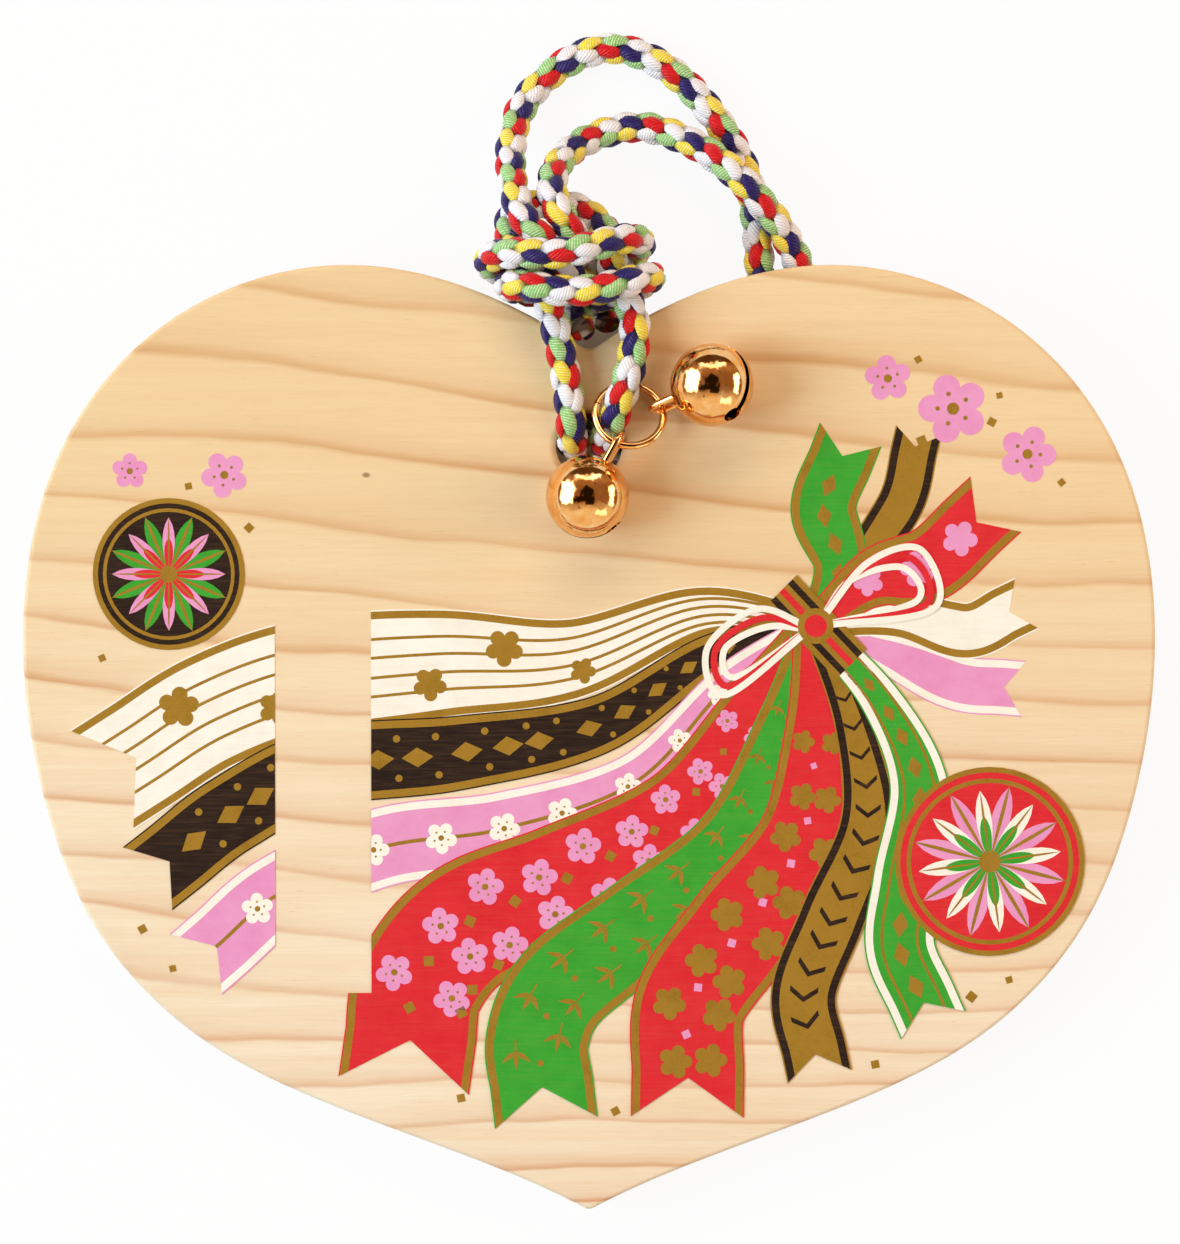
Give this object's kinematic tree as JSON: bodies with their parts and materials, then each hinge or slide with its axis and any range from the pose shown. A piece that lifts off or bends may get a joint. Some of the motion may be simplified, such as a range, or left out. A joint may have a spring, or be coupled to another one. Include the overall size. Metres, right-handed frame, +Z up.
{
  "type": "ema votive plaque",
  "caption": "Heart-shaped wooden votive plaque with a knotted braided hanging cord through a hole below the notch, and small round bells on a wire ring over its face.",
  "frame": {"origin": "middle of the underside of the board with ring and bells, on the table", "axes": "+X right across the painted face, +Y from the tip towards the notch and the hanging loops, +Z up out of the painted face; the plaque lies on its back"},
  "size_m": [0.12, 0.1254, 0.0181],
  "materials": {
    "wood": "bare planed softwood with a printed design on the front",
    "braid": "satin multicolour round braid",
    "sealed_tip": "melted and hardened cord end",
    "gold_wire": "polished gold-coloured plating",
    "gold_shell": "polished gold-coloured plating",
    "clapper_metal": "plain steel ball"
  },
  "bodies": {
    "plaque": {"board": "wood", "cord_wrap_lower": "braid", "cord_loop_outer": "braid", "cord_leg_left": "braid", "cord_bight": "braid", "cord_leg_right": "braid", "cord_loop_inner": "braid", "cord_wrap_upper": "braid", "cord_tip_left": "sealed_tip", "cord_tip_right": "sealed_tip"},
    "ring": {"ring": "gold_wire"},
    "left_bell": {"left_bell_upper_shell": "gold_shell", "left_bell_lower_shell": "gold_shell", "left_bell_eye": "gold_wire"},
    "left_bell_clapper": {"left_bell_clapper": "clapper_metal"},
    "right_bell": {"right_bell_upper_shell": "gold_shell", "right_bell_lower_shell": "gold_shell", "right_bell_eye": "gold_wire"},
    "right_bell_clapper": {"right_bell_clapper": "clapper_metal"}
  },
  "joints": [
    {"name": "ring_lift", "type": "hinge", "parent": "plaque", "child": "ring", "pos_m": [0.00249, 0.03697, 0.01033], "axis": [-0.8704, -0.4091, 0.2739], "range_deg": [0, 25]},
    {"name": "left_bell_swing", "type": "hinge", "parent": "ring", "child": "left_bell", "pos_m": [0.0029, 0.0311, 0.01309], "axis": [-0.8749, 0.4746, -0.0962], "range_deg": [0, 75]},
    {"name": "left_bell_clapper_roll", "type": "hinge", "parent": "left_bell", "child": "left_bell_clapper", "pos_m": [-0.00016, 0.02549, 0.0133], "axis": [0.4792, 0.8771, -0.0316], "range_deg": [-75, 75]},
    {"name": "right_bell_swing", "type": "hinge", "parent": "ring", "child": "right_bell", "pos_m": [0.00763, 0.03502, 0.0108], "axis": [0.2036, -0.9267, 0.3159], "range_deg": [0, 30]},
    {"name": "right_bell_clapper_roll", "type": "hinge", "parent": "right_bell", "child": "right_bell_clapper", "pos_m": [0.01289, 0.03718, 0.01374], "axis": [-0.8221, -0.3371, -0.4588], "range_deg": [-75, 75]}
  ]
}
